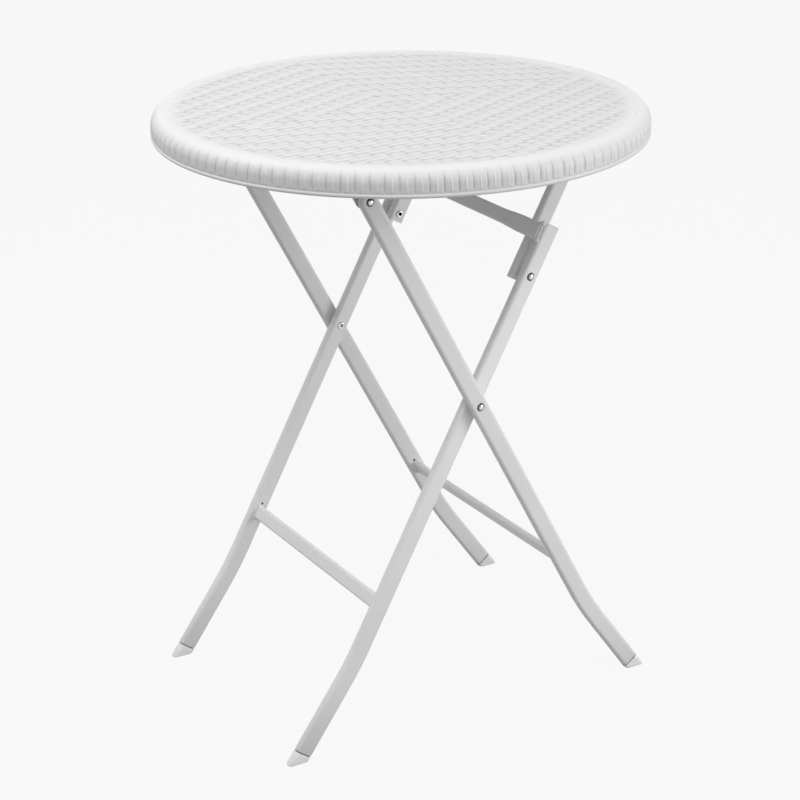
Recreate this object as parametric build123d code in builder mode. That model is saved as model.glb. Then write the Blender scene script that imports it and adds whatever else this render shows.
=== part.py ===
# Round folding bistro table: moulded top on two crossing tube frames that fold flat
# Frame: X along the hinge axes, Y the way the legs spread, Z up, origin on the floor under the top's centre
# Units: millimetres and degrees
import os

from build123d import *

os.makedirs("parts", exist_ok=True)

# Table top
TOP_DIAMETER = 600.0
TOP_HEIGHT = 749.0
RIM_HEIGHT = 31.0
RIM_ROUND = 16.0
RIM_FOOT = 14.0
LIP_HEIGHT = 5.0
LIP_GROOVE = 1.2
PANEL_RECESS = 8.0
RECESS_DRAFT = 6.0

# Moulded tack-off dimples under the top, in rings with a step between neighbours
DIMPLE_RING_RADII = (60.0, 120.0, 262.0)
DIMPLE_STEP_ANGLES = (60.0, 30.0, 20.0)
DIMPLE_MOUTH = 18.0
DIMPLE_FLOOR = 10.0
DIMPLE_DEPTH = 13.0

# Pivots in the side view: the hinge line hangs under the panel, the scissor pivot is a share of its height
HINGE_DROP = 30.5
OUTER_HINGE_Y = -149.0
LINK_HINGE_Y = 150.0
SCISSOR_Y = -1.8
SCISSOR_SHARE = 0.60216

# Sideways places of the tubes' middles
OUTER_X = 177.1
INNER_X = 161.9
LINK_X = 142.0

# Flat-sided leg tube, whose corner radius is a share of its thickness
LEG_WIDTH = 22.5
LEG_THICK = 12.0
TUBE_WALL = 1.2
CORNER_SHARE = 0.36
LEG_HEAD = 64.5
FLARE_HEIGHT = 112.0
FLARE_ANGLE = 35.8
BEND_RADIUS = 450.0
LINK_TAIL = 9.5
LINK_STOP_GAP = 0.3

# Flat-sided cross bars, and the rail whose ends are pressed flat over the legs
BAR_WIDTH = 18.0
BAR_THICK = 8.5
BAR_WALL = 1.0
OUTER_BAR_HEIGHT = 183.0
INNER_BAR_HEIGHT = 181.5
WELD_SIZE = 1.6
RAIL_SETBACK = 11.8
RAIL_LAP = 1.5
RAIL_END_WIDTH = 21.2
RAIL_END_THICK = 4.6
RAIL_END_RUN = 36.0
RAIL_TAPER_RUN = 40.0

# Plastic feet and plugs
FOOT_CUT_HEIGHT = 11.5
FOOT_REACH = 45.0
SPIGOT_LENGTH = 22.0
LINK_SPIGOT = 5.0
SPIGOT_GAP = 0.1
PLUG_FLANGE = 1.5
PLUG_HOLE = 2.4
PLUG_HOLE_DEPTH = 4.0
PLUG_HOLE_SPREAD = 11.0

# Rivets, washers and spacers
RIVET_RADIUS = 3.0
HEAD_RADIUS = 5.2
HEAD_HEIGHT = 2.4
CLENCH_RADIUS = 4.4
CLENCH_HEIGHT = 1.9
CLENCH_BORE = 2.2
CLENCH_BORE_DEPTH = 5.0
RIVET_FIT = 0.05
SIDE_PLAY = 0.3
SPACER_RADIUS = 6.3
WASHER_THICK = 1.2

# Hinge brackets and their screws
EAR_THICK = 3.0
EAR_RADIUS = 11.0
BASE_LENGTH = 56.0
BASE_WIDTH = 36.0
BASE_THICK = 2.5
BASE_CORNER = 6.0
BRACKET_BEND = 3.5
SCREW_SPREAD = 36.0
SCREW_RADIUS = 2.1
SCREW_LENGTH = 13.0
SCREW_HEAD_RADIUS = 4.2
SCREW_HEAD_HEIGHT = 2.4
SCREW_HEAD_ROUND = 1.7
SCREW_FIT = 0.05

# Levels of the top
TOP_RADIUS = TOP_DIAMETER / 2
RIM_BASE = TOP_HEIGHT - RIM_HEIGHT
PANEL_UNDERSIDE = RIM_BASE + PANEL_RECESS

# Pivots and directions worked out from the driving sizes, as (y, z) in the side view
HINGE_HEIGHT = PANEL_UNDERSIDE - HINGE_DROP
OUTER_HINGE = Vector(OUTER_HINGE_Y, HINGE_HEIGHT)
LINK_HINGE = Vector(LINK_HINGE_Y, HINGE_HEIGHT)
SCISSOR = Vector(SCISSOR_Y, HINGE_HEIGHT * SCISSOR_SHARE)
OUTER_UP = (OUTER_HINGE - SCISSOR).normalized()
INNER_UP = (LINK_HINGE - SCISSOR).normalized()

# The four pivots come into one line when folded, which sets where the link joins the inner leg
OUTER_RUN = (OUTER_HINGE - SCISSOR).length
STRUT_RUN = (LINK_HINGE - SCISSOR).length
HINGE_RUN = (LINK_HINGE - OUTER_HINGE).length
LINK_PIVOT_RUN = (OUTER_RUN + STRUT_RUN - HINGE_RUN) / 2
LINK_PIVOT = SCISSOR + INNER_UP * LINK_PIVOT_RUN
INNER_TOP = LINK_PIVOT + INNER_UP * LEG_HEAD
RAIL_CENTRE = INNER_TOP - INNER_UP * RAIL_SETBACK

# Sizes that follow from others
LINK_WIDTH = LEG_WIDTH - 2 * LINK_STOP_GAP
HOLE_RADIUS = RIVET_RADIUS + RIVET_FIT
DOME_RADIUS = (HEAD_RADIUS**2 + HEAD_HEIGHT**2) / (2 * HEAD_HEIGHT)

# Faces across the width, from the outside in
OUTER_FACE = OUTER_X + LEG_THICK / 2
OUTER_INNER_FACE = OUTER_X - LEG_THICK / 2
INNER_FACE = INNER_X + LEG_THICK / 2
INNER_INNER_FACE = INNER_X - LEG_THICK / 2
LINK_FACE = LINK_X + LEG_THICK / 2
LINK_INNER_FACE = LINK_X - LEG_THICK / 2
OUTER_EAR_FACE = OUTER_INNER_FACE - WASHER_THICK - SIDE_PLAY
LINK_EAR_FACE = LINK_INNER_FACE - SIDE_PLAY

SIDES = {"left": -1, "right": 1}


def save(builder, name):
    """Label a finished piece and write it."""
    builder.part.label = name
    export_step(builder.part, f"parts/{name}.step")


def in_space(x, point):
    """A side-view point at a given place across the width."""
    return (x, point.X, point.Y)


def tube_plane(x, point, along):
    """A section plane square to a tube, with its long side in the side view."""
    return Plane(origin=in_space(x, point), x_dir=(0, along.Y, -along.X), z_dir=(0, along.X, along.Y))


def pivot_hole(x, point, radius, length):
    """Cut a round hole across the width."""
    with Locations(Location(in_space(x, point), (0, 90, 0))):
        Cylinder(radius, length, mode=Mode.SUBTRACT)


def leg_route(up, foot_side):
    """The bend and the cut lower end of a leg that comes down through the scissor pivot."""
    bend = SCISSOR - up * ((SCISSOR.Y - FLARE_HEIGHT) / up.Y)
    flare = Vector(0, -1).rotate(Axis.Z, foot_side * FLARE_ANGLE)
    cut = bend + flare * ((FOOT_CUT_HEIGHT - bend.Y) / flare.Y)
    return bend, cut, flare


def lower_bar_centre(up, height):
    """Where a lower bar crosses its legs."""
    return SCISSOR - up * ((SCISSOR.Y - height) / up.Y)


def tube_outline(width, thick, inset=0, mode=Mode.ADD):
    """The rounded outline of a tube, or of what lies a step inside it."""
    RectangleRounded(width - 2 * inset, thick - 2 * inset, thick * CORNER_SHARE - inset, mode=mode)


def tube_section(width, thick, wall):
    """The hollow section of a tube."""
    tube_outline(width, thick)
    tube_outline(width, thick, wall, Mode.SUBTRACT)


def round_end(x, centre, up, width):
    """Close a tube with a formed half-round end about a pivot."""
    with BuildSketch(tube_plane(x, centre, up)) as half_section:
        tube_outline(width, LEG_THICK)
        Rectangle(width, LEG_THICK, align=(Align.MAX, Align.CENTER), mode=Mode.SUBTRACT)
    revolve(half_section.sketch, axis=Axis(in_space(x, centre), (1, 0, 0)), revolution_arc=180)


def bent_tube(x, top, bend, cut):
    """Sweep a leg tube from its top through its bend to its cut lower end."""
    with BuildLine(Plane.YZ.offset(x)) as route:
        FilletPolyline((top.X, top.Y), (bend.X, bend.Y), (cut.X, cut.Y), radius=BEND_RADIUS)
    with BuildSketch(tube_plane(x, top, (bend - top).normalized())) as section:
        tube_section(LEG_WIDTH, LEG_THICK, TUBE_WALL)
    sweep(section.sketch, path=route.wire())


def make_foot(x, cut, flare):
    """A wedge foot that carries the tube's outline down to the floor, with a spigot in the tube."""
    with BuildPart() as foot:
        with BuildSketch(tube_plane(x, cut, flare)):
            tube_outline(LEG_WIDTH, LEG_THICK)
        extrude(amount=FOOT_REACH)
        split(bisect_by=Plane.XY, keep=Keep.TOP)
        with BuildSketch(tube_plane(x, cut, flare)):
            tube_outline(LEG_WIDTH, LEG_THICK, TUBE_WALL + SPIGOT_GAP)
        extrude(amount=-SPIGOT_LENGTH)
    return foot


def make_plug(x, end, outward, width, spigot, holes):
    """A flanged plug in a cut tube end, with an optional pair of small holes in its flange."""
    with BuildPart() as plug:
        with BuildSketch(tube_plane(x, end, outward)):
            tube_outline(width, LEG_THICK)
        extrude(amount=PLUG_FLANGE)
        with BuildSketch(tube_plane(x, end, outward)):
            tube_outline(width, LEG_THICK, TUBE_WALL + SPIGOT_GAP)
        extrude(amount=-spigot)
        if holes:
            with BuildSketch(tube_plane(x, end + outward * PLUG_FLANGE, outward)):
                with GridLocations(PLUG_HOLE_SPREAD, 0, 2, 1):
                    Circle(PLUG_HOLE / 2)
            extrude(amount=-PLUG_HOLE_DEPTH, mode=Mode.SUBTRACT)
    return plug


def make_rivet(side, point, start, finish, head, clenched):
    """A rivet across the width from its start face in to its finish face."""
    span = Plane(origin=in_space(0, point), x_dir=(side, 0, 0), z_dir=(0, -side, 0))
    crown = start + HEAD_HEIGHT if head else start
    clench_end = finish - CLENCH_HEIGHT
    bore_end = clench_end + CLENCH_BORE_DEPTH if clenched else finish
    with BuildPart() as rivet:
        with BuildSketch(span):
            with BuildLine():
                if head:
                    RadiusArc((crown, 0), (start, HEAD_RADIUS), -DOME_RADIUS)
                    Line((start, HEAD_RADIUS), (start, RIVET_RADIUS))
                else:
                    Line((start, 0), (start, RIVET_RADIUS))
                Line((start, RIVET_RADIUS), (finish, RIVET_RADIUS))
                if clenched:
                    Polyline(
                        (finish, RIVET_RADIUS),
                        (finish, CLENCH_RADIUS),
                        (clench_end, CLENCH_RADIUS - CLENCH_HEIGHT / 2),
                        (clench_end, CLENCH_BORE),
                        (bore_end, CLENCH_BORE),
                        (bore_end, 0),
                    )
                else:
                    Line((finish, RIVET_RADIUS), (finish, 0))
                Line((bore_end, 0), (crown, 0))
            make_face()
        revolve(axis=Axis(in_space(0, point), (1, 0, 0)))
    return rivet


def make_ring(side, point, start, finish, radius):
    """A washer or spacer about a rivet, between two faces across the width."""
    with BuildPart() as ring:
        with BuildSketch(Plane.YZ.offset(side * (start + finish) / 2)):
            with Locations(point):
                Circle(radius)
                Circle(HOLE_RADIUS, mode=Mode.SUBTRACT)
        extrude(amount=(start - finish) / 2, both=True)
    return ring


def make_bracket(side, hinge, ear_face):
    """A hinge bracket: an ear that hangs from a base plate screwed under the top."""
    ear_middle = ear_face - EAR_THICK / 2
    base_middle = ear_face - BASE_WIDTH / 2
    with BuildPart() as bracket:
        with BuildSketch(Plane.YZ.offset(side * ear_middle)):
            with Locations(hinge):
                Circle(EAR_RADIUS)
            with Locations((hinge.X, PANEL_UNDERSIDE)):
                Rectangle(BASE_LENGTH, BASE_THICK, align=(Align.CENTER, Align.MAX))
            make_hull()
        extrude(amount=EAR_THICK / 2, both=True)
        with Locations((side * base_middle, hinge.X, PANEL_UNDERSIDE)):
            Box(BASE_WIDTH, BASE_LENGTH, BASE_THICK, align=(Align.CENTER, Align.CENTER, Align.MAX))
        inward = Axis.X if side < 0 else -Axis.X
        fillet(bracket.edges().filter_by(Axis.Y).group_by(Axis.Z)[-1].sort_by(inward)[0], BRACKET_BEND)
        fillet(bracket.edges().filter_by(Axis.Z).sort_by(inward)[-2:], BASE_CORNER)
        pivot_hole(side * ear_middle, hinge, HOLE_RADIUS, 2 * EAR_THICK)
        with Locations((side * (base_middle - EAR_THICK), hinge.X, PANEL_UNDERSIDE)):
            with GridLocations(0, SCREW_SPREAD, 1, 2):
                Cylinder(SCREW_RADIUS + SCREW_FIT, 4 * BASE_THICK, mode=Mode.SUBTRACT)
    return bracket


def screw_places():
    """Where the bracket screws go, on the underside of the top."""
    places = []
    for side in SIDES.values():
        for hinge, ear_face in ((OUTER_HINGE, OUTER_EAR_FACE), (LINK_HINGE, LINK_EAR_FACE)):
            x = side * (ear_face - BASE_WIDTH / 2 - EAR_THICK)
            places.append((x, hinge.X - SCREW_SPREAD / 2, PANEL_UNDERSIDE))
            places.append((x, hinge.X + SCREW_SPREAD / 2, PANEL_UNDERSIDE))
    return places


def bar_plane(centre, up, offset):
    """A section plane across the width, with its long side along the legs of its frame."""
    middle = centre + Vector(-up.Y, up.X) * offset
    return Plane(origin=in_space(0, middle), x_dir=(0, up.X, up.Y), z_dir=(1, 0, 0))


def make_lower_bar(centre, up, half_length):
    """A cross bar with a flared weld at each end."""
    section = bar_plane(centre, up, 0)
    with BuildPart() as bar:
        with BuildSketch(section):
            tube_section(BAR_WIDTH, BAR_THICK, BAR_WALL)
        extrude(amount=half_length, both=True)
        for side in SIDES.values():
            with BuildSketch(section.offset(side * half_length)):
                tube_outline(BAR_WIDTH + 2 * WELD_SIZE, BAR_THICK + WELD_SIZE)
            with BuildSketch(section.offset(side * (half_length - 2 * WELD_SIZE))):
                tube_outline(BAR_WIDTH, BAR_THICK)
            loft()
    return bar


def make_rail(centre, up, half_length):
    """A cross rail on the legs' upper edges, pressed flat and wide towards each end."""
    edge = LEG_WIDTH / 2
    middle = bar_plane(centre, up, edge + BAR_THICK / 2)
    end = bar_plane(centre, up, edge + RAIL_END_THICK / 2)
    taper_end = half_length - RAIL_END_RUN
    taper_start = taper_end - RAIL_TAPER_RUN
    with BuildPart() as rail:
        with BuildSketch(middle):
            tube_section(BAR_WIDTH, BAR_THICK, BAR_WALL)
        extrude(amount=taper_start, both=True)
        for side in SIDES.values():
            with BuildSketch(middle.offset(side * taper_start)):
                tube_outline(BAR_WIDTH, BAR_THICK)
            with BuildSketch(end.offset(side * taper_end)):
                tube_outline(RAIL_END_WIDTH, RAIL_END_THICK)
            loft()
            with BuildSketch(end.offset(side * taper_end)):
                tube_outline(RAIL_END_WIDTH, RAIL_END_THICK)
            extrude(amount=side * RAIL_END_RUN)
    return rail


# Table top: a turned outline with a rounded rim, a parting groove above the lip and a recessed underside
with BuildPart() as table_top:
    with BuildSketch(Plane.XZ):
        with BuildLine():
            Line((0, TOP_HEIGHT), (TOP_RADIUS - RIM_ROUND, TOP_HEIGHT))
            RadiusArc((TOP_RADIUS - RIM_ROUND, TOP_HEIGHT), (TOP_RADIUS, TOP_HEIGHT - RIM_ROUND), RIM_ROUND)
            Polyline(
                (TOP_RADIUS, TOP_HEIGHT - RIM_ROUND),
                (TOP_RADIUS, RIM_BASE + LIP_HEIGHT + LIP_GROOVE),
                (TOP_RADIUS - LIP_GROOVE, RIM_BASE + LIP_HEIGHT),
                (TOP_RADIUS, RIM_BASE + LIP_HEIGHT - LIP_GROOVE),
                (TOP_RADIUS, RIM_BASE + LIP_GROOVE),
                (TOP_RADIUS - LIP_GROOVE, RIM_BASE),
                (TOP_RADIUS - RIM_FOOT, RIM_BASE),
                (TOP_RADIUS - RIM_FOOT - RECESS_DRAFT, PANEL_UNDERSIDE),
                (0, PANEL_UNDERSIDE),
                (0, TOP_HEIGHT),
            )
        make_face()
    revolve(axis=Axis.Z)
    for ring_radius, step_angle in zip(DIMPLE_RING_RADII, DIMPLE_STEP_ANGLES):
        with Locations((0, 0, PANEL_UNDERSIDE)):
            with PolarLocations(ring_radius, round(360 / step_angle)):
                Cone(
                    DIMPLE_MOUTH / 2,
                    DIMPLE_FLOOR / 2,
                    DIMPLE_DEPTH,
                    align=(Align.CENTER, Align.CENTER, Align.MIN),
                    mode=Mode.SUBTRACT,
                )
    with Locations(*screw_places()):
        Cylinder(
            SCREW_RADIUS + SCREW_FIT,
            SCREW_LENGTH,
            align=(Align.CENTER, Align.CENTER, Align.MIN),
            mode=Mode.SUBTRACT,
        )
save(table_top, "table_top")

# Hinge brackets under the top
for side_name, side in SIDES.items():
    save(make_bracket(side, OUTER_HINGE, OUTER_EAR_FACE), f"outer_bracket_{side_name}")
    save(make_bracket(side, LINK_HINGE, LINK_EAR_FACE), f"link_bracket_{side_name}")

# Pan-head screws that hold the brackets
with BuildPart() as bracket_screws:
    with Locations(*screw_places()):
        with Locations((0, 0, -BASE_THICK)):
            Cylinder(SCREW_RADIUS, SCREW_LENGTH, align=(Align.CENTER, Align.CENTER, Align.MIN))
            Cylinder(SCREW_HEAD_RADIUS, SCREW_HEAD_HEIGHT, align=(Align.CENTER, Align.CENTER, Align.MAX))
    fillet(bracket_screws.edges().group_by(Axis.Z)[0], SCREW_HEAD_ROUND)
save(bracket_screws, "bracket_screws")

# Outer frame: two legs hung on the outer brackets, one lower bar, feet and rivets
outer_bend, outer_cut, outer_flare = leg_route(OUTER_UP, 1)
for side_name, side in SIDES.items():
    with BuildPart() as outer_leg:
        bent_tube(side * OUTER_X, OUTER_HINGE, outer_bend, outer_cut)
        round_end(side * OUTER_X, OUTER_HINGE, OUTER_UP, LEG_WIDTH)
        pivot_hole(side * OUTER_X, OUTER_HINGE, HOLE_RADIUS, 2 * LEG_THICK)
        pivot_hole(side * OUTER_X, SCISSOR, HOLE_RADIUS, 2 * LEG_THICK)
    save(outer_leg, f"outer_leg_{side_name}")
    save(make_foot(side * OUTER_X, outer_cut, outer_flare), f"outer_foot_{side_name}")
    pivot_rivet = make_rivet(side, OUTER_HINGE, OUTER_FACE, OUTER_EAR_FACE - EAR_THICK - SIDE_PLAY, True, True)
    save(pivot_rivet, f"outer_pivot_rivet_{side_name}")
    pivot_washer = make_ring(side, OUTER_HINGE, OUTER_INNER_FACE, OUTER_INNER_FACE - WASHER_THICK, HEAD_RADIUS)
    save(pivot_washer, f"outer_pivot_washer_{side_name}")
    rivet_head = make_rivet(side, SCISSOR, OUTER_FACE, OUTER_INNER_FACE, True, False)
    save(rivet_head, f"scissor_rivet_head_{side_name}")
outer_bar = make_lower_bar(lower_bar_centre(OUTER_UP, OUTER_BAR_HEIGHT), OUTER_UP, OUTER_INNER_FACE)
save(outer_bar, "outer_lower_bar")

# Inner frame: two legs with plugged tops, a stop rail, a lower bar, feet, rivets and spacers
inner_bend, inner_cut, inner_flare = leg_route(INNER_UP, -1)
for side_name, side in SIDES.items():
    with BuildPart() as inner_leg:
        bent_tube(side * INNER_X, INNER_TOP, inner_bend, inner_cut)
        pivot_hole(side * INNER_X, SCISSOR, HOLE_RADIUS, 2 * LEG_THICK)
        pivot_hole(side * INNER_X, LINK_PIVOT, HOLE_RADIUS, 2 * LEG_THICK)
    save(inner_leg, f"inner_leg_{side_name}")
    save(make_foot(side * INNER_X, inner_cut, inner_flare), f"inner_foot_{side_name}")
    top_plug = make_plug(side * INNER_X, INNER_TOP, INNER_UP, LEG_WIDTH, SPIGOT_LENGTH, False)
    save(top_plug, f"inner_top_plug_{side_name}")
    scissor_spacer = make_ring(side, SCISSOR, OUTER_INNER_FACE - SIDE_PLAY, INNER_FACE, SPACER_RADIUS)
    save(scissor_spacer, f"scissor_spacer_{side_name}")
    rivet_tail = make_rivet(side, SCISSOR, OUTER_INNER_FACE - SIDE_PLAY, INNER_INNER_FACE, False, True)
    save(rivet_tail, f"scissor_rivet_tail_{side_name}")
    link_rivet = make_rivet(side, LINK_PIVOT, INNER_FACE, LINK_INNER_FACE - SIDE_PLAY, True, True)
    save(link_rivet, f"link_pivot_rivet_{side_name}")
    link_spacer = make_ring(side, LINK_PIVOT, INNER_INNER_FACE, LINK_FACE + SIDE_PLAY, SPACER_RADIUS)
    save(link_spacer, f"link_spacer_{side_name}")
top_rail = make_rail(RAIL_CENTRE, INNER_UP, INNER_X + RAIL_LAP)
save(top_rail, "inner_top_rail")
inner_bar = make_lower_bar(lower_bar_centre(INNER_UP, INNER_BAR_HEIGHT), INNER_UP, INNER_INNER_FACE)
save(inner_bar, "inner_lower_bar")

# Links: short tubes from the inner legs up to the link brackets
link_end = LINK_PIVOT - INNER_UP * LINK_TAIL
for side_name, side in SIDES.items():
    with BuildPart() as link:
        with BuildSketch(tube_plane(side * LINK_X, link_end, INNER_UP)):
            tube_section(LINK_WIDTH, LEG_THICK, TUBE_WALL)
        extrude(amount=(LINK_HINGE - link_end).length)
        round_end(side * LINK_X, LINK_HINGE, INNER_UP, LINK_WIDTH)
        pivot_hole(side * LINK_X, LINK_PIVOT, HOLE_RADIUS, 2 * LEG_THICK)
        pivot_hole(side * LINK_X, LINK_HINGE, HOLE_RADIUS, 2 * LEG_THICK)
    save(link, f"link_{side_name}")
    link_plug = make_plug(side * LINK_X, link_end, INNER_UP * -1, LINK_WIDTH, LINK_SPIGOT, True)
    save(link_plug, f"link_plug_{side_name}")
    top_rivet = make_rivet(side, LINK_HINGE, LINK_FACE, LINK_EAR_FACE - EAR_THICK - SIDE_PLAY, True, True)
    save(top_rivet, f"link_top_rivet_{side_name}")
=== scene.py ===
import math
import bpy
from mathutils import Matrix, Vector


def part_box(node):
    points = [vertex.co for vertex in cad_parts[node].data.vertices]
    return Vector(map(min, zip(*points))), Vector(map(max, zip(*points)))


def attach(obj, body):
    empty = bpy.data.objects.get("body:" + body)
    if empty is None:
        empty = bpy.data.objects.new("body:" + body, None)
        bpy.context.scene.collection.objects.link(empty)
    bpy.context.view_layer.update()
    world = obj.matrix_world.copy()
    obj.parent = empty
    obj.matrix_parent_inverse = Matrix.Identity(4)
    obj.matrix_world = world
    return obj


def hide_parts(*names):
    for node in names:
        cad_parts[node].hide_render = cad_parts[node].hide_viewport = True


bl_info = {
    "name": "Folding bistro table",
    "version": (1, 0, 0),
    "blender": (4, 5, 0),
    "location": "3D View > Sidebar > Table",
    "description": "Dresses the packed folding table with its woven top, coated frame and hardware",
    "category": "Object",
}

import bmesh
import bpy
from mathutils import Matrix, Vector

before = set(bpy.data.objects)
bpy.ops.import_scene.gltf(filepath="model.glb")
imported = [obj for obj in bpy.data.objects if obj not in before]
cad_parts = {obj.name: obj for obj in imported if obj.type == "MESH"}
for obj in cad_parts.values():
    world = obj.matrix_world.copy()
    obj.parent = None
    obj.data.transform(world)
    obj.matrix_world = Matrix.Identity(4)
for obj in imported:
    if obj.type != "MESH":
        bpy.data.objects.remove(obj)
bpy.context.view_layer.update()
TOP_LOW, TOP_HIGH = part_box("table_top")
TOP_RADIUS = (TOP_HIGH.x - TOP_LOW.x) / 2
SIDES = {"left": -1, "right": 1}
MM = 0.001


def middle_of(node):
    """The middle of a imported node's box."""
    low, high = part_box(node)
    return (low + high) / 2


# Pivots in the side view, as (y, z), and places across the width
SCISSOR = middle_of("scissor_spacer_left").yz
OUTER_HINGE = middle_of("outer_pivot_washer_left").yz
LINK_PIVOT = middle_of("link_spacer_left").yz
LINK_HINGE = middle_of("link_top_rivet_left").yz
OUTER_UP = (OUTER_HINGE - SCISSOR).normalized()
INNER_UP = (LINK_HINGE - SCISSOR).normalized()
OUTER_X = middle_of("outer_leg_right").x
INNER_X = middle_of("inner_leg_right").x

# Sizes of the solids that the smooth tubes follow
LEG_WIDTH, LEG_THICK = 22.5 * MM, 12 * MM
BAR_WIDTH, BAR_THICK = 18 * MM, 8.5 * MM
RAIL_END_WIDTH, RAIL_END_THICK = 21.2 * MM, 4.6 * MM
RAIL_END_RUN, RAIL_TAPER_RUN = 36 * MM, 40 * MM
RAIL_SETBACK = 11.8 * MM
CORNER_SHARE = 0.36
LEG_HEAD = 64.5 * MM
FLARE_HEIGHT, FOOT_CUT = 112 * MM, 11.5 * MM
FLARE_ANGLE = math.radians(35.8)
BEND_RADIUS = 450 * MM
CUT_SIDE, CUT_DEPTH, CUT_EASING = 0.975, 0.95, 0.4 * MM
DEPTH = Vector((1, 0, 0))
INNER_TOP = LINK_PIVOT + INNER_UP * LEG_HEAD
RAIL_CENTRE = INNER_TOP - INNER_UP * RAIL_SETBACK

# Sizes of the top's rim and underside, and how far the rim lies back for its ridges
RIM_INSET, RIM_ROUNDING, LIP_RADIUS = 0.1 * MM, 16 * MM, 2.6 * MM
RIDGE_ROOM, RIM_SEED = 1.2, 4
PANEL_DEPTH = 4 * MM
PAN_DEPTH, PAN_INSET, PAN_LIFT = 3 * MM, 10 * MM, 1 * MM

# Sizes of the hardware, with those of the rivets in plain millimetres
WELD_SIZE, WELD_SPACING, WELD_GAP, WELD_SEED = 1.6 * MM, 1.9 * MM, 1.2 * MM, 7
WELD_REACH, WELD_WIDE, WELD_THICK = 0.7 * MM, 1.4 * MM, 0.9 * MM
RAIL_BEAD, RAIL_WELD_LIFT = 1.4, 1 * MM
RIVET_STEPS, VENT_STEPS, SCREW_STEPS = 28, 20, 32
HEAD_RADIUS, HEAD_HEIGHT, DOME_RADIUS, TAIL_HEIGHT = 5.2, 2.4, 6.83, 1.9
VENT_RISE = 12 * MM
SCREW_STEP, SCREW_SET_IN, SCREW_SEAT = 18 * MM, 21 * MM, 2.5 * MM
SCREW_TURN = math.radians(31)

# Where seams are closed, and how sharp an edge has to be to show as one
TUBE_SEAM, FINE_SEAM, SHAPE_SEAM = 0.02 * MM, 0.01 * MM, 0.001 * MM
TUBE_CREASE, SHAPE_CREASE = math.radians(42), math.radians(40)

FLOOR_HALF, SENSOR_WIDTH = 40.0, 36


# Sizes and colours that a user would change


class TopSettings(bpy.types.PropertyGroup):
    strand_pitch: bpy.props.FloatProperty(
        name="Strand pitch", description="Width of a strand that runs front to back",
        default=0.00834, unit="LENGTH")
    row_pitch: bpy.props.FloatProperty(
        name="Row pitch", description="Width of a row that runs side to side",
        default=0.01745, unit="LENGTH")
    row_middle: bpy.props.FloatProperty(
        name="Row middle", description="Where the two mirrored halves of the weave meet",
        default=-0.0045, unit="LENGTH")
    weave_lift: bpy.props.FloatProperty(
        name="Weave lift", description="How far a strand rises and falls as it goes over and under",
        default=0.0015, unit="LENGTH")
    strand_crown: bpy.props.FloatProperty(
        name="Strand crown", description="How far the edges of a strand drop below its middle",
        default=0.0020, unit="LENGTH")
    row_sink: bpy.props.FloatProperty(
        name="Row sink", description="How far the rows lie below the strands",
        default=0.0010, unit="LENGTH")
    panel_radius: bpy.props.FloatProperty(
        name="Panel radius", description="Radius of the flat woven face inside the rim",
        default=0.2839, unit="LENGTH")
    weave_fade: bpy.props.FloatProperty(
        name="Weave fade", description="Plain border over which the weave dies out",
        default=0.020, unit="LENGTH")
    rim_bands: bpy.props.IntProperty(
        name="Rim bands", description="Number of bands wrapped round the rim", default=116)
    band_groove: bpy.props.FloatProperty(
        name="Band groove", description="Depth of the groove between two rim bands",
        default=0.0013, unit="LENGTH")
    band_ridge: bpy.props.FloatProperty(
        name="Band ridge", description="Height of the fold line along the middle of a band",
        default=0.0007, unit="LENGTH")
    colour: bpy.props.FloatVectorProperty(
        name="Top colour", description="White of the moulded plastic",
        subtype="COLOR", min=0, max=1, default=(0.79, 0.79, 0.785))


class FrameSettings(bpy.types.PropertyGroup):
    coat_colour: bpy.props.FloatVectorProperty(
        name="Coat colour", description="White of the powder coat",
        subtype="COLOR", min=0, max=1, default=(0.915, 0.915, 0.915))
    plastic_colour: bpy.props.FloatVectorProperty(
        name="Plastic colour", description="White of the feet and plugs",
        subtype="COLOR", min=0, max=1, default=(0.95, 0.95, 0.945))
    nylon_colour: bpy.props.FloatVectorProperty(
        name="Nylon colour", description="Pale nylon of the spacers and washers",
        subtype="COLOR", min=0, max=1, default=(0.72, 0.71, 0.68))
    rivet_colour: bpy.props.FloatVectorProperty(
        name="Rivet colour", description="Bright plated steel",
        subtype="COLOR", min=0, max=1, default=(0.84, 0.84, 0.85))
    zinc_colour: bpy.props.FloatVectorProperty(
        name="Zinc colour", description="Zinc plate of the brackets and screws",
        subtype="COLOR", min=0, max=1, default=(0.58, 0.59, 0.60))
    bead_size: bpy.props.FloatProperty(
        name="Weld bead", description="Radius of one ripple of a weld",
        default=0.0013, unit="LENGTH")


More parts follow.
